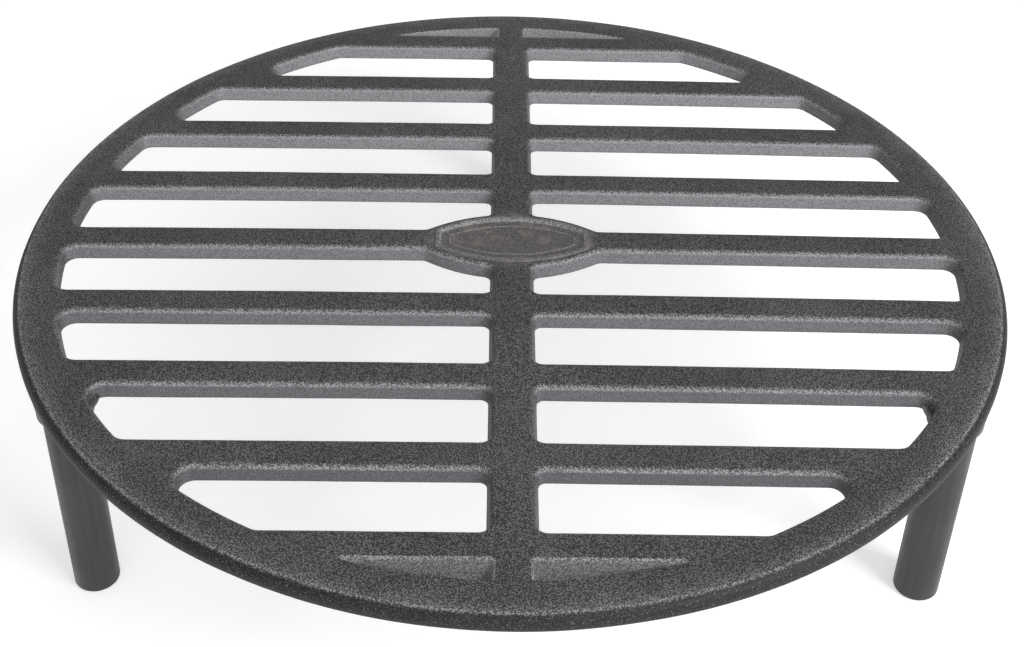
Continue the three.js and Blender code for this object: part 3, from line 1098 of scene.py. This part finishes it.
@dataclass
class Thread:
    """A right-hand screw thread with chamfered ends, as a solid."""

    radius: float
    low: float
    high: float
    pitch: float = 1.5
    depth: float = 0.92
    chamfer: float = 0.8
    segments: int = 48

    def build(self, name: str, centre: Vector) -> Object:
        """Builds the threaded solid on an upright axis.

        Args:
            name: name of the object.
            centre: a point on the axis.

        Returns:
            The object.
        """
        core = self._helix(name, centre)
        tip = self.radius - self.chamfer
        envelope = turned("envelope", [
            (0.0, self.low), (tip, self.low), (self.radius + 0.05, self.low + self.chamfer),
            (self.radius + 0.05, self.high - self.chamfer), (tip, self.high), (0.0, self.high),
        ], self.segments * 2, centre)
        combine(core, envelope, "INTERSECT")
        return core

    def _helix(self, name: str, centre: Vector) -> Object:
        """The endless thread, run a turn past both ends and closed with a fan at each."""
        root = self.radius - self.depth
        profile = [(0.0, root), (0.2, root), (0.52, self.radius), (0.68, self.radius)]
        first_turn = math.floor(self.low / self.pitch) - 2
        last_turn = math.ceil(self.high / self.pitch) + 1
        angles = [2 * math.pi * i / self.segments for i in range(self.segments)]
        circle = np.array([(math.cos(angle), math.sin(angle)) for angle in angles])
        climb = self.pitch * np.arange(self.segments) / self.segments
        draft = MeshDraft()
        rows = []
        for turn in range(first_turn, last_turn):
            for share, radius in profile:
                rows.append(draft.ring(circle * radius + centre.xy, (turn + share) * self.pitch + climb))
        at = np.array(rows)
        for row in range(len(at) - 1):
            draft.faces(zip(at[row], at[row, 1:], at[row + 1, 1:], at[row + 1]))
            above = row + len(profile)
            if above + 1 < len(at):
                draft.faces([(at[row, -1], at[above, 0], at[above + 1, 0], at[row + 1, -1])])
        bottom = [*at[0], *at[len(profile):0:-1, 0]]
        top = [*at[-1 - len(profile):-1, -1], *at[-1, ::-1]]
        for loop, level in ((bottom, first_turn * self.pitch), (top, (last_turn + 1) * self.pitch)):
            hub = draft.ring(np.array([centre.xy]), level)[0]
            draft.faces((hub, a, b) for a, b in zip(loop, loop[1:] + loop[:1]))
        return draft.to_object(name)


class Place(Enum):
    """Where a leg stands, as the part names it."""

    FRONT_LEFT = "front_left"
    FRONT_RIGHT = "front_right"
    REAR = "rear"


@dataclass
class ScrewedLeg:
    """A leg of round bar and the stud that holds it in its boss."""

    place: Place
    foot_round: float = 1.0
    top_chamfer: float = 0.8
    hole_room: float = 0.3
    mouth_chamfer: float = 0.5
    drill_point: float = 0.1
    segments: int = 96

    def __post_init__(self) -> None:
        """Reads where the leg and the stud are."""
        self.bar = NodeBox.of(f"leg_{self.place.value}")
        self.stud = NodeBox.of(f"stud_{self.place.value}")

    def build_leg(self) -> Object:
        """Builds the bar with its rounded foot and the hole for the stud.

        Returns:
            The object, in the row frame.
        """
        radius, top = self.bar.radius, self.bar.high.z
        hole = self.stud.radius + self.hole_room
        hole_end = self.stud.low.z - self.hole_room
        foot, levels = self.foot_round, 8
        profile = [
            (0.0, 0.0),
            *((radius - foot + rise, spread) for spread, rise in quarter_round(foot, 6)),
            *((radius, foot + (top - foot) * level / levels) for level in range(1, levels)),
            (radius, top - self.top_chamfer), (radius - self.top_chamfer, top),
            (hole + self.mouth_chamfer, top), (hole, top - self.mouth_chamfer),
            (hole, hole_end), (0.0, hole_end - hole * self.drill_point),
        ]
        leg = turned(f"{self.place.value}_leg_bar", profile, self.segments, self.bar.centre)
        shade(leg, 30)
        return leg

    def build_stud(self) -> Object:
        """Builds the threaded stud."""
        thread = Thread(self.stud.radius - 0.02, self.stud.low.z, self.stud.high.z)
        stud = thread.build(f"{self.place.value}_threaded_stud", self.stud.centre)
        shade(stud, 25)
        return stud


# ---- the studio -----------------------------------------------------------------------------


@dataclass(frozen=True)
class PhotoCamera:
    """The camera of the photograph, fitted to the disc's rim and slots.

    Distances are in millimetres, from the middle of the disc at the height of its rim.
    """

    focal_pixels: float = 1576.2
    image_width: float = 1024.0
    sensor_mm: float = 36.0
    axis_above_middle: float = 97.5
    pitch: float = 35.45
    yaw: float = 0.917
    roll: float = 1.333
    aside: float = -0.04
    below: float = 6.34
    distance: float = 661.8

    def build(self, rim_height: float) -> None:
        """Makes the scene's camera.

        Args:
            rim_height: height of the rim's top above the floor.
        """
        pitch, yaw, roll = (math.radians(angle) for angle in (self.pitch, self.yaw, self.roll))
        sine, cosine = math.sin(pitch), math.cos(pitch)
        level = Matrix(((1, 0, 0), (0, -sine, -cosine), (0, cosine, -sine)))
        view = Matrix.Rotation(roll, 3, "Z") @ level @ Matrix.Rotation(yaw, 3, "Z")
        middle = Vector((self.aside, self.below, self.distance))
        position = -(view.transposed() @ middle) + Vector((0, 0, rim_height))
        right, down, forward = view
        data = bpy.data.cameras.new("photo_camera")
        data.sensor_width = self.sensor_mm
        data.lens = self.focal_pixels * self.sensor_mm / self.image_width
        data.shift_y = -self.axis_above_middle / self.image_width
        data.clip_start = 0.01
        camera = link("photo_camera", data)
        turn = Matrix((right, -down, -forward)).transposed()
        camera.matrix_world = Matrix.Translation(position * MM) @ turn.to_4x4()
        bpy.context.scene.camera = camera


@dataclass(frozen=True)
class SoftBox:
    """A square studio lamp that looks at the middle of the grate. Angles in degrees, lengths in metres."""

    name: str
    azimuth: float
    elevation: float
    power: float
    size: float
    distance: float = 2.0
    aim_height: float = 0.05

    def build(self) -> None:
        """Hangs the lamp."""
        data = bpy.data.lights.new(self.name, "AREA")
        data.shape = "SQUARE"
        data.size = self.size
        data.energy = self.power
        lamp = link(self.name, data)
        around, up = math.radians(self.azimuth), math.radians(self.elevation)
        aim = Vector((math.cos(up) * math.cos(around), math.cos(up) * math.sin(around), math.sin(up)))
        lamp.location = aim * self.distance + Vector((0, 0, self.aim_height))
        lamp.rotation_euler = aim.to_track_quat("Z", "Y").to_euler()


@dataclass
class Studio:
    """The floor, the surrounding light and the lamps."""

    floor_size: float = 12.0
    floor_drop: float = 0.0003
    surround: float = 0.4
    lamps: tuple[SoftBox, ...] = (
        SoftBox("key_right", azimuth=-42, elevation=33, power=33, size=0.9),
        SoftBox("front_fill", azimuth=-100, elevation=22, power=9, size=1.6),
        SoftBox("overhead", azimuth=70, elevation=75, power=4, size=2.0),
    )

    def build(self) -> None:
        """Builds the floor, the lamps and the surrounding light."""
        work = bmesh.new()
        bmesh.ops.create_grid(work, x_segments=8, y_segments=8, size=self.floor_size / 2)
        mesh = bpy.data.meshes.new("studio_floor")
        work.to_mesh(mesh)
        work.free()
        mesh.materials.append(StudioWhite().material())
        floor = link("studio_floor", mesh)
        floor.location.z = -self.floor_drop
        for lamp in self.lamps:
            lamp.build()
        self._surroundings()

    def _surroundings(self) -> None:
        """Gives the world a plain level of light, and white where the camera or a transmission ray sees it.
        """
        world = bpy.data.worlds.new("studio_surround")
        world.use_nodes = True
        world.node_tree.nodes.clear()
        canvas = Canvas(world.node_tree)
        rays = canvas.add("LightPath").outputs
        seen = canvas.math("ADD", rays["Is Camera Ray"], rays["Is Transmission Ray"])
        strength = canvas.scaled(seen, (0.0, 1.0), (self.surround, 1.0))
        background = canvas.add("Background", {"Color": opaque((1.0, 1.0, 1.0)), "Strength": strength})
        canvas.add("OutputWorld", {"Surface": background.outputs[0]})
        bpy.context.scene.world = world


# ---- the whole ------------------------------------------------------------------------------


def finish_piece(
    piece: Object, node: str, body: str, material: bpy.types.Material
) -> None:
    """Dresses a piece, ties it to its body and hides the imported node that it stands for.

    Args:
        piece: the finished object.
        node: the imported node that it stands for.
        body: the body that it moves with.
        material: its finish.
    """
    piece.data.materials.clear()
    piece.data.materials.append(material)
    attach(piece, body)
    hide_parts(node)
    LOG.info("%s: %d faces, rides on %s", piece.name, len(piece.data.polygons), body)


def main() -> None:
    """Builds the pieces and the studio, in order."""
    logging.basicConfig(level=logging.INFO, format="%(name)s: %(message)s")
    scene = bpy.context.scene
    scene.view_settings.view_transform = "Standard"
    legs = [ScrewedLeg(place) for place in Place]
    plate = GratePlate(legs=[leg.bar for leg in legs], studs=[leg.stud for leg in legs])
    PhotoCamera().build(plate.top - plate.crown)
    Studio().build()
    finish_piece(plate.build(), "grate_plate", "plate", CastSkin().material())
    bar_steel, thread_steel = BarSteel().material(), ThreadSteel().material()
    for leg in legs:
        name = leg.place.value
        finish_piece(leg.build_leg(), f"leg_{name}", f"{name}_leg", bar_steel)
        finish_piece(leg.build_stud(), f"stud_{name}", f"{name}_stud", thread_steel)


if __name__ == "__main__":
    main()
